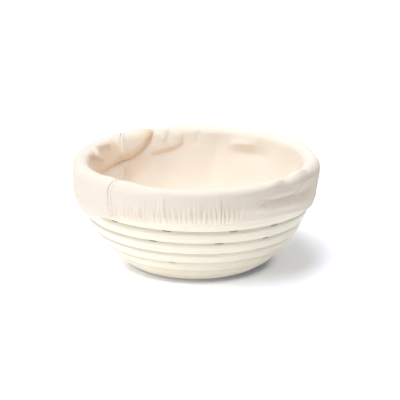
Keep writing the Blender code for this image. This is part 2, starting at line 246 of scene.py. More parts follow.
def makeFloor(values):
    material = bpy.data.materials.new("paleFloor")
    material.use_nodes = True
    tree = material.node_tree
    tree.nodes.remove(tree.nodes["Principled BSDF"])
    lit = addNode(tree, "ShaderNodeBsdfDiffuse", {"Color": (*[values["floorColour"]] * 3, 1)})
    across = addNode(tree, "ShaderNodeSeparateXYZ", {0: objectPlace(tree)})
    start, end = values["glowSpan"]
    most, least = values["floorGlow"]
    dimmed = addNode(tree, "ShaderNodeMapRange", {
        "Value": across, "From Min": start, "From Max": end, "To Min": most, "To Max": least})
    glow = addNode(tree, "ShaderNodeEmission", {"Color": (*values["glowColour"], 1), "Strength": dimmed})
    table = addNode(tree, "ShaderNodeAddShader", {0: lit, 1: glow})
    # Painted shadow: occlusion near the basket darkens the colour that the camera sees
    paintedShadow = 1.0
    for reach, share, towards in values["paintedContactShadows"]:
        way = addNode(tree, "ShaderNodeCombineXYZ", dict(enumerate(towards)))
        contact = addNode(tree, "ShaderNodeAmbientOcclusion", {
            "Distance": reach, "Normal": way}, samples=values["paintedShadowSamples"])
        part = addNode(tree, "ShaderNodeMapRange", {"Value": contact.outputs["AO"], "To Min": 1 - share})
        paintedShadow = addMath(tree, "MULTIPLY", part, paintedShadow)
    dark, bright = ([part * values["floorSeen"] for part in values[name]]
                    for name in ("shadowColour", "seenColour"))
    # The vectors are the node's inputs 4 and 5, and their mix is its output 1
    tinted = addNode(tree, "ShaderNodeMix", {0: paintedShadow, 4: dark, 5: bright}, data_type="VECTOR")
    seen = addNode(tree, "ShaderNodeBsdfDiffuse", {"Color": tinted.outputs[1]})
    mix = addNode(tree, "ShaderNodeMixShader", {0: rayIsSeen(tree), 1: table, 2: seen})
    tree.links.new(mix.outputs[0], tree.nodes["Material Output"].inputs["Surface"])
    half = values["floorHalf"]
    corners = [(-half, -half, 0), (half, -half, 0), (half, half, 0), (-half, half, 0)]
    mesh = newMesh("floor", corners, [], [(0, 1, 2, 3)])
    mesh.materials.append(material)
    addObject("floor", mesh)


makeCamera(cameraValues)
makeLight(lightValues)
makeFloor(lightValues)
print("stage, camera and light made")


# The coil's centre line, with the same sizes as the frame's canes
coilValues = {
    "diameter": 0.0093,
    "gap": 0.0007,
    "floorRadius": 0.0429,
    "eyeRadius": 0.0071,
    "wallTurns": 8.5,
    "taperTurns": 0.7,
    "leanAtFloor": 24.0,
    "leanAtRim": 80.3,
    "leanEase": 1.6,
    "cornerTurns": 0.6,
    "startAngle": 142.5,
    "runsPerTurn": 24,       # straight runs of the frame's canes, which set where they end
    "footShare": 0.1,
    "lowerSplice": 2.9,
    "upperSplice": 6.0,
    "scarfLength": 0.014,
    "scarfGap": 0.0003,
    "scarfEase": 1.5,        # lengths of the scarf over which its slant eases off
    "scarfNear": (1.2, 0.7),     # shares of that length and of the diameter that count as the end
    "swell": 1.055,          # the round cane against the frame's six-sided one
    "pointsPerTurn": 96,
    "sides": 24,
    "fullness": 4.2,         # 2 for a round section, more for flatter sides
    # Turns, and how far out the corners of the section may reach there
    "rounded": ((1.0, 1.06), (2.0, 1.3), (6.9, 1.3), (7.4, 1.06)),
    "unevenness": 0.012,     # share by which the cane's thickness wanders
    "wander": ((5.3, 0.0), (13.7, 1.0)),  # its two waves: radians a turn, and at the foot of the wall
}

pitch = coilValues["diameter"] + coilValues["gap"]
caneRadius = coilValues["diameter"] / 2 * coilValues["swell"]
frameRadius = coilValues["diameter"] / 2
flatRadius = coilValues["floorRadius"] - coilValues["cornerTurns"] * pitch
runShare = math.cos(math.pi / coilValues["runsPerTurn"])
coilTurns = coilValues["wallTurns"] + coilValues["taperTurns"]


def wholeRuns(turns):
    return math.floor(turns * coilValues["runsPerTurn"]) / coilValues["runsPerTurn"]


def lean(turn):
    share = np.clip(1 - np.asarray(turn, float) / coilValues["wallTurns"], 0, 1)
    low = coilValues["leanAtFloor"]
    high = coilValues["leanAtRim"]
    slope = high - (high - low) * share ** coilValues["leanEase"]
    corner = coilValues["cornerTurns"]
    lift = np.clip((np.asarray(turn, float) + corner) / (2 * corner), 0, 1)
    return np.radians(slope * lift * lift * (3 - 2 * lift))


wallTurn = np.linspace(-coilValues["cornerTurns"], coilValues["wallTurns"] + 2, 2400)
wallStep = (wallTurn[1] - wallTurn[0]) * pitch
wallLean = lean((wallTurn[1:] + wallTurn[:-1]) / 2)
floorLine = frameRadius - coilValues["diameter"] * coilValues["footShare"]
wallRadius = flatRadius + runningSum(np.cos(wallLean) * wallStep)
wallHeight = floorLine + runningSum(np.sin(wallLean) * wallStep)


def centreLine(turn):
    turn = np.asarray(turn, float)
    flat = flatRadius + (turn + coilValues["cornerTurns"]) * pitch
    radius = np.where(turn <= -coilValues["cornerTurns"], flat, np.interp(turn, wallTurn, wallRadius))
    return radius, np.interp(turn, wallTurn, wallHeight)


rimRadius, rimHeight = (float(value) for value in centreLine(coilValues["wallTurns"]))


def coilPoints(turn):
    share = 1 - np.clip(turn - coilValues["wallTurns"], 0, None) * pitch / coilValues["diameter"]
    seated = turn - 1 + (frameRadius * (1 + share) + coilValues["gap"]) / pitch
    seat = np.where(turn > coilValues["wallTurns"], seated, turn)
    radius, height = centreLine(seat)
    angle = math.radians(coilValues["startAngle"]) - turn * 2 * math.pi
    return ringPoints(angle, radius, height), share


def outsideRadius(height):
    slope = lean(wallTurn)
    face = wallRadius + caneRadius * np.sin(slope)
    return np.interp(height, wallHeight - caneRadius * np.cos(slope), face)


caneFinish = {
    "pale": (0.94, 0.90, 0.805),
    "warm": (0.80, 0.71, 0.53),
    "fibre": (0.70, 0.60, 0.43),
    "roughness": 0.52,
    "fibreScale": 1500.0,    # fibres across a metre of the section
    "fibreStretch": 0.02,    # the same along the cane, as a share
    "fibreDepth": 0.00012,
    "toneScale": 9.0,        # changes of tone in a metre of cane
    "cloudScale": 55.0,
    "paleShare": 0.68,
    "cloudShare": 0.16,
    "fibreShare": 0.22,
    "toneSpan": (0.35, 0.68),    # part of each pattern over which one colour becomes the other
    "cloudSpan": (0.28, 0.60),
    "fibreSpan": (0.30, 0.52),
}


def caneMaterial(values):
    # Fibres run along the cane: the pattern is fine across the section and long down its run
    pale, warm = values["pale"], values["warm"]
    material, tree, shader = newMaterial("paleCane", pale, values["roughness"])
    around = addNode(tree, "ShaderNodeSeparateXYZ", {0: addAttribute(tree, "around", "Vector")})
    run = addAttribute(tree, "run", "Fac")
    slow = addMath(tree, "MULTIPLY", run, values["fibreStretch"])
    place = addNode(tree, "ShaderNodeCombineXYZ", {0: around.outputs[0], 1: around.outputs[1], 2: slow})
    fibres = addNoise(tree, place, values["fibreScale"], 3.0)
    tone = addNoise(tree, addNode(tree, "ShaderNodeCombineXYZ", {0: run}), values["toneScale"])
    cloud = addNoise(tree, objectPlace(tree), values["cloudScale"])
    toned = addTint(tree, tone, values["toneSpan"], warm, pale)
    base = addMix(tree, values["paleShare"], toned, (*pale, 1))
    base = addMix(tree, values["cloudShare"], base, addTint(tree, cloud, values["cloudSpan"], warm, pale))
    streaks = addTint(tree, fibres, values["fibreSpan"], values["fibre"], pale)
    base = addMix(tree, values["fibreShare"], base, streaks)
    tree.links.new(base, shader.inputs["Base Color"])
    addBump(tree, fibres, values["fibreDepth"], shader)
    return material


clothFinish = {
    "colour": (0.94, 0.86, 0.77),
    "deep": (0.88, 0.74, 0.59),
    # Painted shade: the colour mixed in where shade and bounced light fall between the folds
    "warm": (0.87, 0.655, 0.47),  # where light bounces between folds
    # A dark line drawn along each seam: painted shade of the seam's groove
    "seam": (0.42, 0.32, 0.25),
    "seamShadeWidth": 0.00075,    # half the width of the drawn line
    "seamShadeShare": 0.85,       # how fully it covers the cloth's colour
    "threadPitch": 0.00052,
    "weaveDepth": 0.00009,
    "weaveStrength": 0.55,
    "slubScale": 420.0,
    "slubShare": 2.2,        # relief of the slubs against that of the weave
    "cloudScale": 26.0,
    "cloudShare": 0.14,
    "weaveShare": 0.10,
    "cloudSpan": (0.28, 0.72),   # part of each pattern over which one colour becomes the other
    "weaveSpan": (0.0, 0.9),
    "seamShadeSpan": (0.35, 1.0),
    "roughness": 0.94,
    "specular": 0.2,
    "sheen": 0.12,
    "sheenRoughness": 0.5,
}


def clothMaterial(values):
    # Plain weave on the cloth's own flat pattern, painted shade between the folds, and a dark line of
    # painted shade where the seam's groove is
    colour, deep = values["colour"], values["deep"]
    material, tree, shader = newMaterial("unbleachedCotton", colour, values["roughness"])
    shader.inputs["Specular IOR Level"].default_value = values["specular"]
    shader.inputs["Sheen Weight"].default_value = values["sheen"]
    shader.inputs["Sheen Roughness"].default_value = values["sheenRoughness"]
    flat = addNode(tree, "ShaderNodeUVMap", uv_map="cut")
    parts = addNode(tree, "ShaderNodeSeparateXYZ", {0: flat})
    count = math.pi / values["threadPitch"]
    warp, weft = (addMath(tree, "SINE", addMath(tree, "MULTIPLY", parts.outputs[i], count))
                  for i in range(2))
    weave = addMath(tree, "MULTIPLY", warp, weft)
    slub = addMath(tree, "MULTIPLY", addNoise(tree, flat, values["slubScale"], 2.0), values["slubShare"])
    cloud = addTint(tree, addNoise(tree, flat, values["cloudScale"]), values["cloudSpan"], deep, colour)
    base = addMix(tree, values["cloudShare"], (*colour, 1), cloud)
    base = addMix(tree, values["weaveShare"], base, addTint(tree, weave, values["weaveSpan"], deep, colour))
    # Painted shade between the folds, warm and darker, as the point values say
    base = addMix(tree, addAttribute(tree, "warmth", "Fac"), base, (*values["warm"], 1))
    # Painted shade of the seam's groove, as a dark line that thins inside the bowl
    away = addMath(tree, "DIVIDE", addAttribute(tree, "seam", "Fac"), values["seamShadeWidth"])
    line = addTint(tree, away, values["seamShadeSpan"], [values["seamShadeShare"]] * 3, (0, 0, 0))
    base = addMix(tree, line, base, (*values["seam"], 1))
    tree.links.new(base, shader.inputs["Base Color"])
    relief = addMath(tree, "ADD", weave, slub)
    addBump(tree, relief, values["weaveDepth"], shader, values["weaveStrength"])
    return material


# Materials with a plain grain. The colours are the mean, the darker and the lighter one
grainFinishes = {
    "sewingThread": {
        "colours": ((0.80, 0.68, 0.55), (0.68, 0.54, 0.41), (0.86, 0.75, 0.63)), "roughness": 0.8,
        "scale": 2600.0, "detail": 2.0, "span": (0.3, 0.7), "depth": 0.0001, "metal": 0.0},
    "brownedWire": {
        "colours": ((0.26, 0.17, 0.10), (0.17, 0.105, 0.06), (0.36, 0.23, 0.13)), "roughness": 0.5,
        "scale": 900.0, "detail": 4.0, "span": (0.35, 0.65), "depth": 0.0, "metal": 0.6},
    "braidedElastic": {
        "colours": ((0.86, 0.84, 0.80), (0.74, 0.72, 0.67), (0.90, 0.88, 0.84)), "roughness": 0.85,
        "scale": 1400.0, "detail": 2.0, "span": (0.3, 0.7), "depth": 0.0001, "metal": 0.0},
}


def grainMaterial(name, values):
    mean, dark, light = values["colours"]
    material, tree, shader = newMaterial(name, mean, values["roughness"])
    shader.inputs["Metallic"].default_value = values["metal"]
    grain = addNoise(tree, objectPlace(tree), values["scale"], values["detail"])
    tree.links.new(addTint(tree, grain, values["span"], dark, light), shader.inputs["Base Color"])
    if values["depth"]:
        addBump(tree, grain, values["depth"], shader)
    return material


cane = caneMaterial(caneFinish)
cotton = clothMaterial(clothFinish)
thread, wire, elastic = (grainMaterial(name, values) for name, values in grainFinishes.items())


# Geometry Nodes helpers

def newTree(name, **sockets):
    # A tree with a geometry in and out, and the named inputs that its maker sets
    tree = bpy.data.node_groups.new(name, "GeometryNodeTree")
    for label, kind in (("Geometry", "Geometry"), *sockets.items()):
        tree.interface.new_socket(label, in_out="INPUT", socket_type="NodeSocket" + kind)
    tree.interface.new_socket("Geometry", in_out="OUTPUT", socket_type="NodeSocketGeometry")
    return tree, addNode(tree, "NodeGroupInput").outputs


def endTree(tree, shape, finish):
    real = addNode(tree, "GeometryNodeRealizeInstances", {0: shape})
    paint = addNode(tree, "GeometryNodeSetMaterial", {"Geometry": real, "Material": finish})
    addNode(tree, "NodeGroupOutput", {0: paint})
    return tree


def runTree(guide, tree, values, name):
    # Runs a tree on a guide object and returns the result as a plain mesh object
    modifier = guide.modifiers.new(tree.name, "NODES")
    modifier.node_group = tree
    for item in tree.interface.items_tree:
        if item.in_out == "INPUT" and item.name in values:
            modifier[item.identifier] = values[item.name]
    mesh = bakeMesh(guide)
    mesh.name = name
    return addObject(name, mesh)


def namedInput(tree, name, kind):
    return addNode(tree, "GeometryNodeInputNamedAttribute", {"Name": name}, data_type=kind)


def storeNamed(tree, geometry, name, kind, value):
    return addNode(tree, "GeometryNodeStoreNamedAttribute", {
        "Name": name, "Geometry": geometry, "Value": value}, data_type=kind)


def guideObject(name, points, edges, attributes):
    mesh = newMesh(name, points, edges, [])
    for label, values in attributes.items():
        storeValues(mesh, label, values)
    return addObject(name, mesh)


def caneTree():
    # Sweeps a round section along the guide and keeps where each point lies on the cane
    tree, start = newTree("sweepCane", Radius="Float", Fullness="Float", Sides="Int", Finish="Material")
    share = namedInput(tree, "share", "FLOAT")
    path = addNode(tree, "GeometryNodeMeshToCurve", {0: start["Geometry"]})
    path = addNode(tree, "GeometryNodeSetCurveNormal", {"Curve": path}, mode="Z_UP")
    tilt = namedInput(tree, "tilt", "FLOAT")
    path = addNode(tree, "GeometryNodeSetCurveTilt", {"Curve": path, "Tilt": tilt})
    path = addNode(tree, "GeometryNodeSetCurveRadius", {"Curve": path, "Radius": share})
    along = addNode(tree, "GeometryNodeSplineParameter").outputs["Length"]
    path = storeNamed(tree, path, "run", "FLOAT", along)
    ring = addNode(tree, "GeometryNodeCurvePrimitiveCircle", {
        "Resolution": start["Sides"], "Radius": start["Radius"]})
    # The section is a circle with slightly flattened sides: each point is divided by the
    # length that the fuller curve has in its direction
    place = addNode(tree, "GeometryNodeInputPosition")
    way = addNode(tree, "ShaderNodeVectorMath", {0: place}, operation="NORMALIZE")
    axes = addNode(tree, "ShaderNodeSeparateXYZ", {0: way}).outputs
    powers = [addMath(tree, "POWER", addMath(tree, "ABSOLUTE", axes[i]), start["Fullness"]) for i in range(2)]
    inverse = addMath(tree, "DIVIDE", -1.0, start["Fullness"])
    scale = addMath(tree, "POWER", addMath(tree, "ADD", *powers), inverse)
    reach = addNode(tree, "ShaderNodeVectorMath", {0: place}, operation="SCALE")
    tree.links.new(scale, reach.inputs["Scale"])
    fuller = addNode(tree, "GeometryNodeSetPosition", {"Geometry": ring, "Position": reach})
    section = storeNamed(tree, fuller, "around", "FLOAT_VECTOR", place)
    sweep = addNode(tree, "GeometryNodeCurveToMesh", {
        "Curve": path, "Profile Curve": section, "Fill Caps": True})
    if "Scale" in sweep.inputs:
        tree.links.new(share.outputs[0], sweep.inputs["Scale"])
    return endTree(tree, sweep, start["Finish"])


def copiesTree():
    # Sets a copy of one small piece on each guide point, along and outward as the point says
    tree, start = newTree("setCopies", Copy="Object", Unevenness="Float", Seed="Int", Finish="Material")
    copy = addNode(tree, "GeometryNodeObjectInfo", {"Object": start["Copy"]}).outputs["Geometry"]
    along, outward = (namedInput(tree, name, "FLOAT_VECTOR") for name in ("along", "outward"))
    first = addNode(tree, "FunctionNodeAlignRotationToVector", {"Vector": along}, axis="X")
    second = addNode(tree, "FunctionNodeAlignRotationToVector", {
        "Rotation": first, "Vector": outward}, axis="Z", pivot_axis="X")
    # A number's limits are the node's inputs 2 and 3, and the number is its output 1
    least = addMath(tree, "MULTIPLY", start["Unevenness"], -1.0)
    chance = addNode(tree, "FunctionNodeRandomValue", {
        2: least, 3: start["Unevenness"], "Seed": start["Seed"]}, data_type="FLOAT")
    swing = addNode(tree, "FunctionNodeAxisAngleToRotation", {
        "Axis": (0, 0, 1), "Angle": chance.outputs[1]})
    turned = addNode(tree, "FunctionNodeRotateRotation", {0: second, 1: swing}, rotation_space="LOCAL")
    dots = addNode(tree, "GeometryNodeMeshToPoints", {"Mesh": start["Geometry"]})
    placed = addNode(tree, "GeometryNodeInstanceOnPoints", {
        "Points": dots, "Instance": copy, "Rotation": turned})
    return endTree(tree, placed, start["Finish"])


sweepCane = caneTree()
setCopies = copiesTree()


def spliceFrame(turn):
    # Middle of the run that holds a splice, and the ways along it and up the wall
    runs = coilValues["runsPerTurn"]
    middleTurn = (math.floor(turn * runs) + 0.5) / runs
    (before, middle, after), _ = coilPoints(middleTurn + np.array([-0.5, 0, 0.5]) / runs)
    along = unit(after - before)
    outward = unit(middle * [1, 1, 0])
    slope = float(lean(middleTurn))
    across = np.array([0, 0, 1]) * math.sin(slope) + outward * math.cos(slope)
    across -= along * across.dot(along)
    return middleTurn, along, unit(across)


def shearEnd(points, end, along, across):
    # Slants the last stretch of a cane into a scarf, easing off away from its end
    reach = coilValues["scarfLength"] * coilValues["scarfEase"]
    slant = coilValues["scarfLength"] / coilValues["diameter"]
    most, widest = coilValues["scarfNear"]
    offset = points - end
    sideways = offset @ across
    near = np.linalg.norm(offset, axis=1) < reach * most
    near &= np.abs(sideways) < coilValues["diameter"] * widest
    share = np.clip(1 - np.abs(offset @ along) / reach, 0, 1)
    return points + np.outer(near * share * sideways * slant, along)


def caneEnd(splice, free, side):
    # The turn at which a cane ends, and the ways of its scarf, which a free end lacks
    if splice is None:
        return free, None
    turn, *ways = spliceFrame(splice)
    return turn + side * coilValues["scarfGap"] / 4 / math.pi / float(centreLine(turn)[0]), ways


def makeCane(name, first, last, node):
    eye = -wholeRuns((coilValues["floorRadius"] - coilValues["eyeRadius"]) / pitch)
    low, firstWays = caneEnd(first, eye, 1)
    high, lastWays = caneEnd(last, wholeRuns(coilTurns), -1)
    turns = np.linspace(low, high, round((high - low) * coilValues["pointsPerTurn"]) + 1)
    points, share = coilPoints(turns)
    waves = sum(np.sin(turns * rate + start) for rate, start in coilValues["wander"])
    wander = 1 + coilValues["unevenness"] * waves / 2
    edges = [(i, i + 1) for i in range(len(points) - 1)]
    guide = guideObject(name + "Guide", points, edges, {"share": share * wander, "tilt": lean(turns)})
    sides = coilValues["sides"]
    piece = runTree(guide, sweepCane, {
        "Radius": caneRadius, "Fullness": coilValues["fullness"], "Sides": sides, "Finish": cane}, name)
    mesh = piece.data
    places = np.zeros(len(mesh.vertices) * 3, np.float32)
    mesh.vertices.foreach_get("co", places)
    middle = np.repeat(points, sides, axis=0)
    offset = places.reshape(-1, 3).astype(float) - middle
    most = caneRadius * share * wander * np.interp(turns, *zip(*coilValues["rounded"]))
    held = np.minimum(np.repeat(most, sides) / np.linalg.norm(offset, axis=1), 1)
    places = middle + offset * held[:, None]
    for end, ways in ((points[0], firstWays), (points[-1], lastWays)):
        if ways:
            places = shearEnd(places, end, *ways)
    places[:, 2] = np.maximum(places[:, 2], 0.0)     # worn flat where it stands
    mesh.vertices.foreach_set("co", places.astype(np.float32).ravel())
    mesh.update()
    mesh.shade_smooth()
    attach(piece, "basket")
    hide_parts(node)
    return piece


baseCane = makeCane("coil_base", None, coilValues["lowerSplice"], "base_cane")
wallCane = makeCane("coil_wall", coilValues["lowerSplice"], coilValues["upperSplice"], "wall_cane")
rimCane = makeCane("coil_rim", coilValues["upperSplice"], None, "rim_cane")
print("canes made:", [len(piece.data.polygons) for piece in (baseCane, wallCane, rimCane)])


# Staples. The crowns seen from the front are at the angles listed for their groove, and the
# rest follow at an even spacing
stapleValues = {
    "crown": 0.0055,
    "leg": 0.0026,
    "wire": 0.00025,         # radius
    "sides": 8,
    "bend": 1.6,             # size of its two corners, in radii of the wire
    "arch": 0.0001,          # rise of the crown's middle
    "grooves": 8,
    "spacing": 33.0,         # degrees
    "seen": {5: (-44.6, -14.7, 19.0, 42.9), 4: (-23.0, 12.1, 39.3), 2: (-14.2,)},
    "frontReach": 62.0,      # degrees either side of the front where only the seen ones are set,
    "frontGrooves": 6,       # in this many grooves from the floor
    "topTurns": 1.1,         # turns at the top that have none
    "grooveShare": 0.74,     # how far out of the groove the crown lies
    "jitter": 5.0,
    "unevenness": 0.12,
    "seed": 7,
}


def wireTemplate(name, points, radius, sides, material):
    # A short bent wire as a small mesh
    curve = bpy.data.curves.new(name, "CURVE")
    curve.dimensions = "3D"
    curve.bevel_depth = radius
    curve.bevel_resolution = (sides - 4) // 2
    curve.use_fill_caps = True
    spline = curve.splines.new("POLY")
    spline.points.add(len(points) - 1)
    for knot, place in zip(spline.points, points):
        knot.co = (*place, 1)
    mesh = bakeMesh(addObject(name, curve))
    mesh.materials.clear()
    mesh.materials.append(material)
    return addObject(name, mesh)


def layCopies(name, template, places, along, outward, values, body):
    # Sets the template on each place, turned along and outward, and joins the copies
    guide = guideObject(name + "Guide", places, [], {"along": along, "outward": outward})
    piece = runTree(guide, setCopies, {
        "Copy": template, "Unevenness": values["unevenness"], "Seed": values["seed"],
        "Finish": template.data.materials[0]}, name)
    bpy.data.objects.remove(template)
    piece.data.shade_smooth()
    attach(piece, body)
    return piece


def groovePlaces(values):
    # Turns of the coil under each staple: groove number and angle from the front
    chance = np.random.default_rng(values["seed"])
    found = []
    for groove in range(values["grooves"]):
        first = chance.uniform(0, values["spacing"])
        rest = np.arange(first, 360, values["spacing"]) - 180
        rest = rest + chance.uniform(-values["jitter"], values["jitter"], len(rest))
        if groove in values["seen"] or groove < values["frontGrooves"]:
            rest = [angle for angle in rest if abs(angle) > values["frontReach"]]
        for angle in (*values["seen"].get(groove, ()), *rest):
            found.append(groove + coilValues["startAngle"] / 360 - angle / 360)
    return np.array([turn for turn in found if turn < coilValues["wallTurns"] - values["topTurns"]])


def makeStaples(values):
    half = values["crown"] / 2
    bend = values["wire"] * values["bend"]
    side = [(half, -values["leg"]), (half, -bend), (half - bend, 0)]
    points = [(-across, 0, high) for across, high in side] + [(0, 0, values["arch"])]
    points += [(across, 0, high) for across, high in side[::-1]]
    template = wireTemplate("stapleShape", points, values["wire"], values["sides"], wire)
    turns = groovePlaces(values)
    before, lower, after, upper = (coilPoints(turns + step)[0] for step in (-0.002, 0, 0.002, 1))
    along = unit(after - before)
    outward = np.cross(unit(upper - lower), along)
    outward = unit(outward * np.sign(np.sum(outward * lower * [1, 1, 0], axis=1))[:, None])
    places = (lower + upper) / 2 + outward * caneRadius * values["grooveShare"]
    print("staples:", len(turns))
    layCopies("staples", template, places, along, outward, values, "basket")


makeStaples(stapleValues)


# The liner. A point of the cloth is an angle round the basket and a length along the cloth
# from the middle of the floor, up the wall, over the rim and down to the hem
clothValues = {
    "thickness": 0.0005,
    "seat": 0.0003,
    "cornerReach": 0.9,      # turns over which the cloth bridges the floor's corner
    "drop": 0.0240,          # from the top of the rim to the hem
    "plumb": 0.0135,         # stretch below the rim that hangs straight
    "drawEase": 1.5,
    "casing": 0.0046,        # height of the hem's casing
    "casingDepth": 0.0017,   # between its two layers of cloth
    "seamMiddle": -89.9,     # middle of the side panel, degrees from the front
    "seamHalf": 46.7,        # and half its width at the rim
    "seamFoot": 0.5,         # and where it starts
    # Degrees by which the seam swings out where it goes over the rim, in on the pillow of slack
    # cloth inside it, and out again further down the wall. After them come the lengths: how far
    # from the crest, unless it is at the crest, and over which stretch, or a rise and a fall
    "seamSwing": (1.5, 0.006),
    "seamPinch": (2.2, 0.015, 0.007),
    "seamFlare": (4.5, 0.020, 0.012, 0.030),
    "slack": 0.0012,         # how far the cloth stands off the wall inside
    "wrinkle": 0.00042,      # soft unevenness all over it, in this many waves
    "wrinkleWaves": 9,
    "wrinkleRound": (2, 15),     # least and most of each wave round the basket,
    "wrinkleDown": (20, 110),    # and radians of it in a metre down the cloth
    # Where a change starts and the length it takes: unevenness of the wall after the middle of
    # the floor, no slack before the crest, a plain casing after its top, and the hidden end
    "wallFrom": (0.040, 0.02),
    "slackTo": (0.006, 0.03),
    "casingFrom": (0.0005, 0.0045),
    "hiddenFrom": (0.0055, 0.001),
    "clearance": 0.0001,     # least air between the cloth and a cane
    "caneReach": 1.03,       # the uneven cane against its mean thickness
    "keepFrom": 0.060,       # length of cloth from which it is kept out of the canes
    "crestReach": 0.0040,    # length of cloth either side of the crest that lies on top of the rim
    "mainColumns": 680,      # round the skirt; half as many inside, a quarter on the floor
    "sideColumns": 384,
    "seed": 11,
}
hemValues = {                # how much lower the hem hangs, where, and over how many degrees
    "left": (0.0150, -92.0, 40.0),
    "right": (0.0066, 77.0, 25.0),
}


def hemDip(angle):
    return sum(deep * bell(angle - middle, spread) for deep, middle, spread in hemValues.values())


rimTop = rimHeight + caneRadius
hemBottom = rimTop - clothValues["drop"] + clothValues["seat"]
casingTop = hemBottom + clothValues["casing"]


def arc(centre, radius, first, last, count):
    way = np.radians(np.linspace(first, last, count))
    return np.stack([centre[0] + radius * np.cos(way), centre[1] + radius * np.sin(way)], axis=1)


def clothProfile():
    # Middle of the cloth as radius and height, from the centre of the floor to the hidden hem
    half = clothValues["thickness"] / 2
    seat = clothValues["seat"] + half
    floor = floorLine + caneRadius + seat

    def inside(turn):
        radius, height = centreLine(turn)
        slope = lean(turn)
        inner = (radius - caneRadius * np.sin(slope)) * runShare - seat * np.sin(slope)
        return np.stack([inner, height + (caneRadius + seat) * np.cos(slope)], axis=-1)

    reach = clothValues["cornerReach"]
    bend = float(centreLine(-reach)[0]) * runShare
    end = inside(np.array(reach * 2))
    corner = np.array([end[0] - (end[1] - floor) / math.tan(float(lean(reach * 2))), floor])
    share = np.linspace(0, 1, 40)[:, None]
    curve = np.array([bend, floor]) * (1 - share) ** 2 + corner * 2 * share * (1 - share) + end * share ** 2
    wall = inside(np.linspace(reach * 2, coilValues["wallTurns"], 90)[1:-1])
    inner = (rimRadius - caneRadius) * runShare - seat
    outer = rimRadius + caneRadius + seat
    width = (outer - inner) / 2
    archHeight = rimTop + seat - width
    arch = arc(((outer + inner) / 2, archHeight), width, 90 + coilValues["leanAtRim"], 0, 60)
    plumbEnd = rimTop - clothValues["plumb"]
    layer = clothValues["casingDepth"]
    drawn = float(outsideRadius(casingTop)) + seat + layer
    fall = np.linspace(0, 1, 40)[:, None]
    skirt = np.concatenate([
        outer + (drawn - outer) * fall ** clothValues["drawEase"],
        plumbEnd + (casingTop - plumbEnd) * fall], axis=1)
    straight = np.array([[outer, height] for height in np.linspace(archHeight, plumbEnd, 20)[1:-1]])
    bottom = hemBottom + layer / 2
    face = float(outsideRadius(bottom)) + seat
    tuck = arc((face + layer / 2, bottom), layer / 2, 0, -180, 20)
    back = np.array([[float(outsideRadius(casingTop)) + seat, casingTop]])
    floorRun = np.array([[radius, floor] for radius in np.linspace(0, bend, 30)[:-1]])
    return np.concatenate([floorRun, curve, wall, arch, straight, skirt, tuck, back])


profile = clothProfile()
pathLength = runningSum(np.linalg.norm(np.diff(profile, axis=0), axis=1))
tangent = unit(np.gradient(profile, pathLength, axis=0))
crestAt = float(pathLength[np.argmax(profile[:, 1])])
outerPart = np.flatnonzero(pathLength > crestAt)[:-1]
casingAt = float(np.interp(-casingTop, -profile[outerPart, 1], pathLength[outerPart]))
clothEnd = float(pathLength[-1])
seamReach = rimRadius * math.cos(math.radians(clothValues["seamHalf"]))


def radiusAt(length):
    return np.interp(length, pathLength, profile[:, 0])


def lengthAt(height, side):
    # Length along the cloth at a height on the inner or the outer side of the rim. Over the
    # rim the second number of a point is already its distance from the crest, outward
    if side == "over":
        return crestAt + height
    if side == "inside":
        part = (pathLength <= crestAt) & (profile[:, 0] > flatRadius)
        return np.interp(height, profile[part, 1], pathLength[part])
    part = (pathLength >= crestAt) & (pathLength <= casingAt + 0.004)
    return np.interp(-height, -profile[part, 1], pathLength[part])


def seamHalfAngle(length):
    # Half the side panel's width, in degrees: a straight seam inside, a plumb one outside
    radius = radiusAt(np.minimum(length, crestAt))
    inner = np.degrees(np.arccos(np.clip(seamReach / np.maximum(radius, seamReach), -1, 1)))
    out, reach = clothValues["seamSwing"]
    swing = out * bell(length - crestAt, reach)
    pinch, start, reach = clothValues["seamPinch"]
    swing = swing - pinch * bell(length - crestAt + start, reach)
    flare, start, rise, fall = clothValues["seamFlare"]
    below = crestAt - start - length
    swing = swing + flare * ease(below / rise) * ease(1 - (below - rise) / fall)
    return np.where(length > crestAt, seamAtCrest, inner) + swing


seamAtCrest = math.degrees(math.acos(seamReach / float(radiusAt(crestAt))))


def unevenness(angle, length, values):
    # Soft rise and fall made of a few waves round the basket and along the cloth
    chance = np.random.default_rng(values["seed"])
    total = np.zeros(np.broadcast(angle, length).shape)
    for _ in range(values["wrinkleWaves"]):
        around = chance.integers(*values["wrinkleRound"])
        down = chance.uniform(*values["wrinkleDown"])
        turn = chance.uniform(0, 2 * math.pi)
        total = total + np.sin(np.radians(angle) * around + length * down + turn)
    return total / math.sqrt(values["wrinkleWaves"])
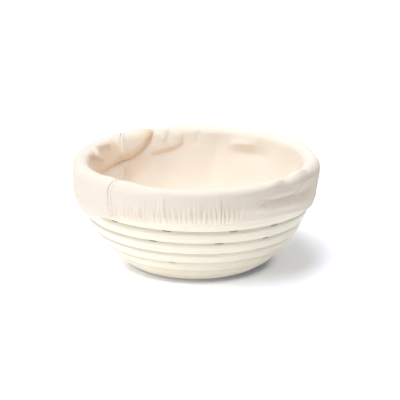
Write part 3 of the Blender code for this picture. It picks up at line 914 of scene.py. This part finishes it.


# Folds of slack cloth. Each has a kind, the side of the rim it is on, the shares over which it
# starts and ends, and a line of points in degrees from the front and height. A ridge stands
# off, a dent is pressed in, and both have a height and a width on either side of the line. A
# crease is a valley between two swellings, each with its height, how soon it rises and how far
# it reaches; its lip hangs over the line. The first side is the one nearer the hem where the
# angle grows along the line
# A fold's last column, where it has one, is painted shade along it: the share of the warm colour and its
# reach on either side
foldNames = ("kind", "side", "high", "wide", "fade", "line", "rise", "lip", "warm")
foldValues = [dict(zip(foldNames, row)) for row in (
    ("crease", "inside", (0.005, 0.0012), (0.0135, 0.011), (0.1, 0.25), ((-156.6, 0.0785), (-154.0, 0.0735),
     (-150.3, 0.0678), (-145.6, 0.0634), (-139.5, 0.0606), (-131.4, 0.0612), (-122.0, 0.06)),
     (0.0034, 0.003), 0.0, (1.0, 0.0075, 0.0014)),
    ("crease", "inside", (0.0036, 0.0012), (0.012, 0.01), (0.2, 0.35), ((-138.0, 0.0606), (-131.4, 0.0612),
     (-128.2, 0.0606), (-119.4, 0.0588), (-108.0, 0.058), (-95.0, 0.06)), (0.003, 0.003), 0.0004,
     (1.0, 0.006, 0.0014)),
    ("ridge", "inside", 0.001, (0.005, 0.0016), (0.15, 0.15), ((-128.0, 0.0755), (-118.0, 0.0767),
     (-108.5, 0.0777))),
    ("crease", "inside", (0.0023, 0.0003), (0.0085, 0.006), (0.15, 0.2), ((-173.0, 0.077), (-172.2, 0.0668),
     (-169.3, 0.0639), (-163.7, 0.0618), (-157.4, 0.061), (-149.0, 0.0605)), (0.0034, 0.003), 0.0,
     (0.5, 0.005, 0.0015)),
    ("crease", "inside", (0.0018, 0.0001), (0.0075, 0.003), (0.2, 0.25), ((-113.0, 0.0652),
     (-104.0, 0.0725), (-95.0, 0.0767)), (0.0008, 0.002), 0.0005),
    ("crease", "inside", (0.0019, 0.0001), (0.01, 0.003), (0.2, 0.2), ((-107.5, 0.078), (-110.0, 0.072),
     (-113.0, 0.064)), (0.0007, 0.002), 0.0003),
    ("crease", "inside", (0.0017, 0.0002), (0.007, 0.003), (0.2, 0.25), ((-123.7, 0.061), (-123.7, 0.068),
     (-124.0, 0.0765)), (0.0008, 0.0015), 0.0003),
    ("ridge", "inside", 0.001, (0.0022, 0.0012), (0.3, 0.3), ((-162.9, 0.0785), (-162.2, 0.0745),
     (-160.8, 0.069))),
    ("dent", "inside", 0.0003, (0.0012, 0.0012), (0.3, 0.3), ((-165.0, 0.078), (-164.7, 0.0745),
     (-164.2, 0.069))),
    ("dent", "inside", 0.0007, (0.0022, 0.0022), (0.3, 0.3), ((179.2, 0.0775), (179.4, 0.073),
     (179.9, 0.0643))),
    ("dent", "inside", 0.0006, (0.0035, 0.0035), (0.3, 0.3), ((168.0, 0.076), (168.8, 0.0624),
     (170.0, 0.0476))),
    ("ridge", "inside", 0.0014, (0.005, 0.0036), (0.3, 0.3), ((163.0, 0.0655), (154.9, 0.069),
     (150.5, 0.0692), (142.0, 0.072))),
    ("dent", "inside", 0.0012, (0.0048, 0.006), (0.3, 0.3), ((161.0, 0.061), (152.6, 0.0622),
     (139.9, 0.0628), (132.0, 0.0605))),
    ("crease", "outside", (0.0011, 0.0007), (0.004, 0.003), (0.25, 0.25), ((50.5, 0.068), (53.5, 0.07),
     (57.4, 0.0734), (60.0, 0.0752)), (0.001, 0.0016), 0.0004),
    ("dent", "outside", 0.0015, (0.0056, 0.0062), (0.35, 0.2), ((22.0, 0.069), (30.5, 0.069),
     (37.5, 0.0688), (46.8, 0.068), (54.1, 0.0672), (65.8, 0.0655), (78.0, 0.065))),
    ("ridge", "outside", 0.001, (0.0056, 0.0056), (0.35, 0.4), ((24.0, 0.0612), (38.0, 0.0605),
     (50.0, 0.0592), (60.0, 0.0575), (68.0, 0.056))),
    ("dent", "outside", 0.003, (0.006, 0.006), (0.4, 0.3), ((70.0, 0.059), (84.0, 0.059), (98.0, 0.059),
     (112.0, 0.059))),
    ("crease", "outside", (0.0008, 0.0004), (0.004, 0.003), (0.25, 0.25), ((26.5, 0.0632), (29.5, 0.0652),
     (33.0, 0.066)), (0.0009, 0.0016), 0.0003),
    ("ridge", "over", 0.0012, (0.01, 0.0045), (0.35, 0.35), ((57.0, -0.013), (60.5, 0.0), (62.0, 0.012))),
    ("ridge", "over", 0.001, (0.01, 0.0045), (0.35, 0.35), ((39.0, -0.013), (42.0, 0.0), (43.5, 0.01))),
    ("ridge", "over", 0.0013, (0.012, 0.0065), (0.35, 0.3), ((-34.0, -0.014), (-33.5, -0.003),
     (-33.5, 0.008))),
    ("ridge", "over", 0.0011, (0.009, 0.009), (0.35, 0.3), ((-49.0, -0.014), (-48.0, -0.003),
     (-48.0, 0.008))),
)]


def lineDistance(angle, length, fold):
    # Distance of points of the cloth from a fold's line, the side of it, the share of the line
    # that lies before them, and the way to it round and down the cloth
    points = fold["line"]
    middle = points[len(points) // 2][0]
    across = np.radians(wrapAngle(angle - middle)) * rimRadius
    knots = [(math.radians(wrapAngle(turn - middle)) * rimRadius, float(lengthAt(height, fold["side"])))
             for turn, height in points]
    steps = [math.dist(one, two) for one, two in zip(knots[:-1], knots[1:])]
    found = [np.full(across.shape, start) for start in (1e9, 1.0, 0.0, 0.0, 0.0)]
    done = 0.0
    for (x1, y1), (x2, y2), step in zip(knots[:-1], knots[1:], steps):
        share = np.clip(((across - x1) * (x2 - x1) + (length - y1) * (y2 - y1)) / step ** 2, 0, 1)
        gapX = across - x1 - share * (x2 - x1)
        gapY = length - y1 - share * (y2 - y1)
        side = np.sign((x2 - x1) * gapY - (y2 - y1) * gapX)
        here = (np.hypot(gapX, gapY), side, (done + share * step) / sum(steps), gapX, gapY)
        closer = here[0] < found[0]
        found = [np.where(closer, new, old) for new, old in zip(here, found)]
        done += step
    return found


def alongFold(place, fold):
    # A fold's strength along its line: it starts and ends softly
    return ease(place / fold["fade"][0]) * ease((1 - place) / fold["fade"][1])


def bySide(side, pair):
    return np.where(side < 0, pair[1], pair[0])


def foldPush(angle, length, fold):
    # How far one fold pushes the cloth off the basket, and how far it slides it along itself
    nearest, side, place, wayX, wayY = lineDistance(angle, length, fold)
    held = alongFold(place, fold)
    falling = held * np.exp(-(nearest / bySide(side, fold["wide"])) ** 1.6)
    if fold["kind"] != "crease":
        return falling * fold["high"] * (1 if fold["kind"] == "ridge" else -1), 0.0, 0.0
    rise = bySide(side, fold["rise"])
    lip = fold["lip"] * held * np.exp(-(nearest / rise - 1) ** 2) * ease(nearest / rise)
    slide = np.where(side < 0, 0.0, lip) / np.maximum(nearest, 1e-6)
    high = bySide(side, fold["high"])
    return high * falling * (1 - np.exp(-nearest / rise)), -slide * wayX, -slide * wayY


# Painted shade between the folds: warmer, darker places where shade and bounced light fall,
# each with the line it lies along, the share of the warm colour, and its reach with a soft edge
paintedShadeNames = ("side", "share", "wide", "edge", "line")
paintedShadeValues = [dict(zip(paintedShadeNames, row)) for row in (
    ("inside", 0.72, 0.0086, 0.0044, ((-121.0, 0.0703), (-112.5, 0.0703))),
    ("inside", 0.72, 0.0084, 0.0048, ((-101.5, 0.07), (-107.0, 0.062))),
    ("inside", 0.8, 0.0052, 0.0036, ((-126.0, 0.0735), (-126.7, 0.0625))),
    ("inside", 0.35, 0.009, 0.0055, ((-135.0, 0.051), (-147.0, 0.057))),
    ("inside", 0.2, 0.008, 0.007, ((159.0, 0.064), (148.0, 0.064))),
    ("outside", 0.14, 0.006, 0.0058, ((30.0, 0.0672), (46.0, 0.066))),
    ("outside", 0.24, 0.006, 0.0056, ((53.0, 0.065), (62.0, 0.064))),
)]


def warmth(angle, length):
    # Share of the painted shade at each point: along the folds that carry it, and in the listed patches
    total = np.zeros(angle.shape)
    for fold in foldValues:
        if "warm" in fold:
            share, *reach = fold["warm"]
            nearest, side, place, _, _ = lineDistance(angle, length, fold)
            falling = np.exp(-(nearest / bySide(side, reach)) ** 1.3)
            total = np.maximum(total, share * alongFold(place, fold) * falling)
    for patch in paintedShadeValues:
        nearest = lineDistance(angle, length, patch)[0]
        total = np.maximum(total, patch["share"] * ease((patch["wide"] - nearest) / patch["edge"]))
    return total


# Puckers that the elastic draws into the cloth above the hem. Each has its own width, depth,
# slant and height
puckerValues = {
    "narrowest": 1.6,        # degrees
    "widest": 2.7,
    "depth": 0.0021,
    "shortest": 0.0050,
    "longest": 0.0125,
    "slant": 0.09,           # degrees for each millimetre above the hem, at most,
    "slantReach": 0.012,     # up to this height
    "smallest": 0.55,        # share of the depth
    "rareness": 2.5,         # 1 for as many tall puckers as short ones, more for fewer
    "roundness": 0.65,       # 1 for a plain wave, less for fuller puckers with sharper grooves
    "casingReach": 0.006,    # how far they reach down over the casing
    "endFrom": (0.0045, 0.002),  # and how they end before the cloth does
    "seed": 5,
    "strength": ((-180, 0.75), (-110, 0.7), (-80, 0.20), (-44, 0.12), (-41, 1.0), (14, 1.0), (21, 0.20),
                 (32, 0.04), (75, 0.04), (108, 0.10), (135, 0.7), (180, 0.75)),
}


def puckerEdges(values):
    # Where the puckers meet, in degrees all the way round
    chance = np.random.default_rng(values["seed"])
    edges = runningSum(chance.uniform(values["narrowest"], values["widest"], 400))
    edges = edges[:np.searchsorted(edges, 360)]
    edges = np.append(edges * 360 / edges[-1], 0)[:-1]
    size = chance.uniform(values["smallest"], 1.0, len(edges))
    tall = chance.uniform(0, 1, len(edges)) ** values["rareness"]
    slant = chance.uniform(-1, 1, len(edges))
    return edges - 180, size, tall, slant


pucker = puckerEdges(puckerValues)


def puckerAt(angle):
    edges = pucker[0]
    return np.clip(np.searchsorted(edges, angle, side="right") - 1, 0, len(edges) - 2)


def puckerPush(angle, length, values):
    edges, size, tall, slant = pucker
    above = casingAt - length
    risen = np.clip(above, 0, values["slantReach"]) * 1000
    leaning = wrapAngle(angle + slant[puckerAt(angle)] * values["slant"] * risen)
    which = puckerAt(leaning)
    phase = (leaning - edges[which]) / (edges[which + 1] - edges[which])
    wave = np.sin(np.clip(phase, 0, 1) * math.pi) ** values["roundness"]
    reach = values["shortest"] + (values["longest"] - values["shortest"]) * tall[which]
    held = np.where(above > 0, bell(np.maximum(above, 0), reach), 1 + above / values["casingReach"])
    start, span = values["endFrom"]
    held = np.clip(held, 0, 1) * ease((clothEnd - start - length) / span)
    places, shares = zip(*values["strength"])
    return values["depth"] * size[which] * wave * held * np.interp(angle, places, shares)


seamValues = {
    "allowance": 0.0036,     # folded cloth that lies beside the seam
    "step": 0.00028,         # by which it lifts the cloth
    "stepEase": (0.0005, 0.0006),  # width of the step at the seam and at the allowance's edge
    "starts": 0.001,         # how far outside the seam's innermost radius it can be told
    "groove": 0.0004,
    "line": 0.0005,          # width of the drawn-in line
    # Painted seam shade: the drawn line thins by these amounts inside the bowl
    "fainter": ((0.00035, 0.003), (0.00035, 0.018)),  # the line thins by this, from here inside
    "fainterOver": 0.003,
    "stitch": 0.0022,
    "stitchGap": 0.0009,
    "stitchThread": 0.00019,
    "stitchSides": 6,
    # Half lengths of the stitch, and how far it stands off the cloth there
    "stitchShape": ((-1, -0.0002), (-0.6, 0.0001), (0, 0.00016), (0.6, 0.0001), (1, -0.0002)),
    "stitchInset": 0.0005,   # from the allowance's edge
    "stitchFrom": 0.004,     # before the crest
    "stitchTo": 0.0065,      # before the cloth's end
    "unevenness": 0.08,
    "seed": 3,
}


def seamDistance(angle, length):
    # Distance from the nearer seam, above 0 on the main panel's side
    half = seamHalfAngle(length)
    off = np.abs(wrapAngle(angle - clothValues["seamMiddle"]))
    return np.radians(off - half) * radiusAt(length)


def seamReached(length):
    return radiusAt(length) > seamReach + seamValues["starts"]


def seamPush(angle, length, values):
    away = seamDistance(angle, length)
    near, far = values["stepEase"]
    band = ease(away / near) - ease((away - values["allowance"]) / far)
    groove = bell(away, values["line"])
    return np.where(seamReached(length), values["step"] * band - values["groove"] * groove, 0.0)


def keepOut(angle, length, radius, height):
    # Moves a point of the wall that lies in a cane out to the cane's face, or up to it where
    # the cloth goes over the rim
    clear = clothValues["thickness"] / 2 + clothValues["clearance"]
    wall = length > clothValues["keepFrom"]
    over = np.abs(length - crestAt) < clothValues["crestReach"]
    outer = length > crestAt
    for whole in range(math.ceil(coilTurns)):
        turn = whole + (coilValues["startAngle"] - angle) / 360
        centre, share = coilPoints(turn)
        middle = np.hypot(centre[..., 0], centre[..., 1])
        reach = caneRadius * clothValues["caneReach"] * share + clear
        above = height - centre[..., 2]
        half = np.sqrt(np.maximum(reach ** 2 - above ** 2, 0))
        caught = wall & (turn < wholeRuns(coilTurns)) & (np.abs(radius - middle) < half)
        raised = centre[..., 2] + np.sqrt(np.maximum(reach ** 2 - (radius - middle) ** 2, 0))
        height = np.where(caught & over, np.maximum(height, raised), height)
        radius = np.where(caught & ~over, np.where(outer, middle + half, middle - half), radius)
    return radius, height


def clothPoint(angle, length):
    # Where a point of the cloth lies, with all its folds, puckers and seams
    angle, length = np.broadcast_arrays(np.asarray(angle, float), np.asarray(length, float))
    angle = wrapAngle(angle)
    values = clothValues
    start, span = values["wallFrom"]
    wall = ease((length - start) / span)
    start, span = values["slackTo"]
    push = values["slack"] * wall * ease((crestAt - start - length) / span)
    push = push + values["wrinkle"] * wall * unevenness(angle, length, values)
    around = 0.0
    down = 0.0
    for fold in foldValues:
        rise, slideAcross, slideDown = foldPush(angle, length, fold)
        push = push + rise
        around = around + slideAcross
        down = down + slideDown
    start, span = values["casingFrom"]
    push = push * ease((casingAt + start - length) / span)
    moved = length + down
    radius = radiusAt(moved)
    height = np.interp(moved, pathLength, profile[:, 1])
    alongR = np.interp(moved, pathLength, tangent[:, 0])
    alongZ = np.interp(moved, pathLength, tangent[:, 1])
    size = np.hypot(alongR, alongZ)
    push = push + puckerPush(angle, length, puckerValues) + seamPush(angle, length, seamValues)
    start, span = values["hiddenFrom"]
    push = push * (1 - ease((length - (clothEnd - start)) / span))
    radius = radius - push * alongZ / size
    height = height + push * alongR / size
    # The hem hangs lower at the two sides, and keeps to the wall there
    top = rimTop - values["plumb"]
    share = np.where(length > crestAt, np.clip((top - height) / (top - casingTop), 0, 1), 0)
    lowered = height - hemDip(angle) * share
    radius = radius + (outsideRadius(lowered) - outsideRadius(height)) * share
    angle = angle + np.degrees(around / rimRadius)
    radius, lowered = keepOut(angle, length, radius, lowered)
    return ringPoints(np.radians(angle), radius, lowered)


def clothRows():
    # Lengths of the rows, each with what the number of columns is divided by there
    floorEnd = 0.034
    foldsFrom = crestAt - 0.026
    crestFrom = crestAt - 0.002
    stretches = ((0.0015, floorEnd, 10, 4), (floorEnd, foldsFrom, 22, 4), (foldsFrom, crestFrom, 37, 2),
                 (crestFrom, casingAt, 26, 1), (casingAt, clothEnd, 14, 1))
    rows = [(float(length), divide) for first, last, count, divide in stretches
            for length in np.linspace(first, last, count + 1)[:-1]]
    return [*rows, (clothEnd, 1)]


def stripFaces(first, last, firstCount, lastCount):
    # Faces between two rows, the second with as many columns or twice as many
    faces = []
    if firstCount == lastCount:
        for i in range(firstCount):
            faces.append((first + i, first + i + 1, last + i + 1, last + i))
        return faces
    for i in range(firstCount):
        faces.append((first + i, last + 2 * i + 1, last + 2 * i))
        faces.append((first + i, first + i + 1, last + 2 * i + 1))
        faces.append((first + i + 1, last + 2 * i + 2, last + 2 * i + 1))
    return faces


# How densely the main panel's columns lie, in degrees from its front seam: inside they crowd
# at the back, where the wall faces the mouth, and outside at the front
densityValues = {
    "inside": ((0, 0.6), (105, 0.6), (125, 0.9), (165, 1.7), (262, 1.7)),
    "outside": ((0, 1.9), (64, 1.9), (76, 1.0), (125, 1.0), (150, 0.7), (262, 0.7)),
    "change": 0.009,         # length of cloth either side of the crest for going from one to the other
    "samples": 2001,
}


def columnShares(count, length, isSide):
    # Where the columns of one row stand between its two seams, from 0 to 1
    even = np.linspace(0, 1, count + 1)
    if isSide:
        return even
    placed = []
    for part in ("inside", "outside"):
        turns, weights = zip(*densityValues[part])
        steps = np.interp(np.linspace(0, turns[-1], densityValues["samples"]), turns, weights)
        total = runningSum((steps[1:] + steps[:-1]) / 2)
        placed.append(np.interp(even, total / total[-1], np.linspace(0, 1, densityValues["samples"])))
    change = float(ease((length - crestAt) / densityValues["change"] / 2 + 0.5))
    return placed[0] * (1 - change) + placed[1] * change


def panelMesh(name, isSide):
    whole = clothValues["sideColumns" if isSide else "mainColumns"]
    tip = (0.0, 0.0)
    angles = []
    lengths = []
    rows = []
    total = 0
    for length, divide in clothRows():
        half = float(seamHalfAngle(length))
        if isSide and half < clothValues["seamFoot"]:
            tip = (clothValues["seamMiddle"], length)
            continue
        count = whole // divide
        shares = columnShares(count, length, isSide)
        row = -half + 2 * half * shares if isSide else half + (360 - 2 * half) * shares
        angles.append(row + clothValues["seamMiddle"])
        lengths.append(np.full(count + 1, length))
        rows.append((total, count))
        total += count + 1
    faces = []
    for (first, firstCount), (last, lastCount) in zip(rows[:-1], rows[1:]):
        faces += stripFaces(first, last, firstCount, lastCount)
    # The first row closes on one point: the middle of the floor, or the foot of the seam
    faces += [(total, i + 1, i) for i in range(rows[0][1])]
    angle = np.concatenate([*angles, [tip[0]]])
    length = np.concatenate([*lengths, [tip[1]]])
    mesh = newMesh(name, clothPoint(angle, length), [], faces)
    # The painted seam shade and the painted shade between the folds are kept as point values
    away = np.abs(seamDistance(angle, length))
    for thinner, below in seamValues["fainter"]:
        away = away + thinner * ease((crestAt - below - length) / seamValues["fainterOver"])
    storeValues(mesh, "seam", np.where(seamReached(length), away, 1.0))
    storeValues(mesh, "warmth", warmth(angle, length))
    flat = ringPoints(np.radians(angle), length, length)[:, :2]
    loops = np.zeros(len(mesh.loops), np.int32)
    mesh.loops.foreach_get("vertex_index", loops)
    cut = mesh.uv_layers.new(name="cut")
    cut.data.foreach_set("uv", flat[loops].astype(np.float32).ravel())
    return mesh


joinWithin = 2e-6            # metres between two points that count as one


def tidyMesh(mesh):
    # Joins the points that coincide and turns every face the same way as its neighbours
    work = bmesh.new()
    work.from_mesh(mesh)
    bmesh.ops.remove_doubles(work, verts=work.verts, dist=joinWithin)
    bmesh.ops.recalc_face_normals(work, faces=work.faces)
    flip = sum(face.normal.z * face.calc_area() for face in work.faces if face.calc_center_median().z < 0.02)
    if flip < 0:
        bmesh.ops.reverse_faces(work, faces=work.faces)
    work.to_mesh(mesh)
    work.free()


def makePanel(name, isSide, nodes):
    mesh = panelMesh(name, isSide)
    tidyMesh(mesh)
    mesh.materials.append(cotton)
    mesh.shade_smooth()
    piece = addObject(name, mesh)
    thick = piece.modifiers.new("thickness", "SOLIDIFY")
    thick.thickness = clothValues["thickness"]
    thick.offset = 0.0
    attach(piece, "liner")
    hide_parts(*nodes)
    return piece


mainPanel = makePanel("liner_main_cloth", False, ["liner_main_panel", "skirt_main_panel"])
sidePanel = makePanel("liner_side_cloth", True, ["liner_side_panel", "skirt_side_panel"])
print("cloth made: length from centre to hem", round(clothEnd * 1000, 1), "mm")


def makeStitches(values):
    # A row of stitches through the folded allowance beside each seam, over the rim and down
    halfStitch = values["stitch"] / 2
    points = [(share * halfStitch, 0, height) for share, height in values["stitchShape"]]
    template = wireTemplate("stitchShape", points, values["stitchThread"], values["stitchSides"], thread)
    pace = values["stitch"] + values["stitchGap"]
    lengths = np.arange(crestAt - values["stitchFrom"], clothEnd - values["stitchTo"], pace)
    beside = (values["allowance"] - values["stitchInset"]) / radiusAt(lengths)
    half = seamHalfAngle(lengths) + np.degrees(beside)
    angle = clothValues["seamMiddle"] + np.concatenate([half, -half])
    lengths = np.tile(lengths, 2)
    here = clothPoint(angle, lengths)
    along = clothPoint(angle, lengths + 0.0004) - here
    outward = unit(np.cross(along, clothPoint(angle + 0.3, lengths) - here))
    places = here + outward * (clothValues["thickness"] / 2)
    return layCopies("stitches", template, places, unit(along), outward, values, "liner")


stitches = makeStitches(seamValues)
print("stitches made:", len(stitches.data.polygons), "faces")


elasticValues = {"width": 0.0038, "thickness": 0.0006, "lift": 0.0007, "columns": 480}


def makeElastic(values):
    # The band lies in the hem's casing and dips with the hem
    count = values["columns"]
    low = hemBottom + values["lift"]
    inner = clothValues["casingDepth"] / 2 + clothValues["seat"] + clothValues["thickness"] / 2
    corners = [(low, -0.5), (low, 0.5), (low + values["width"], 0.5), (low + values["width"], -0.5)]
    angle = np.linspace(-180, 180, count + 1)[:-1]
    points = []
    for height, share in corners:
        lowered = height - hemDip(angle)
        radius = outsideRadius(lowered) + inner + values["thickness"] * share
        points.append(ringPoints(np.radians(angle), radius, lowered))
    faces = []
    for ring in range(4):
        for i in range(count):
            j = (i + 1) % count
            other = (ring + 1) % 4
            faces.append((ring * count + i, ring * count + j, other * count + j, other * count + i))
    mesh = newMesh("hem_band", np.concatenate(points), [], faces)
    tidyMesh(mesh)
    mesh.materials.append(elastic)
    piece = addObject("hem_band", mesh)
    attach(piece, "liner")
    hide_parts("hem_elastic")


makeElastic(elasticValues)
print("hem band made")
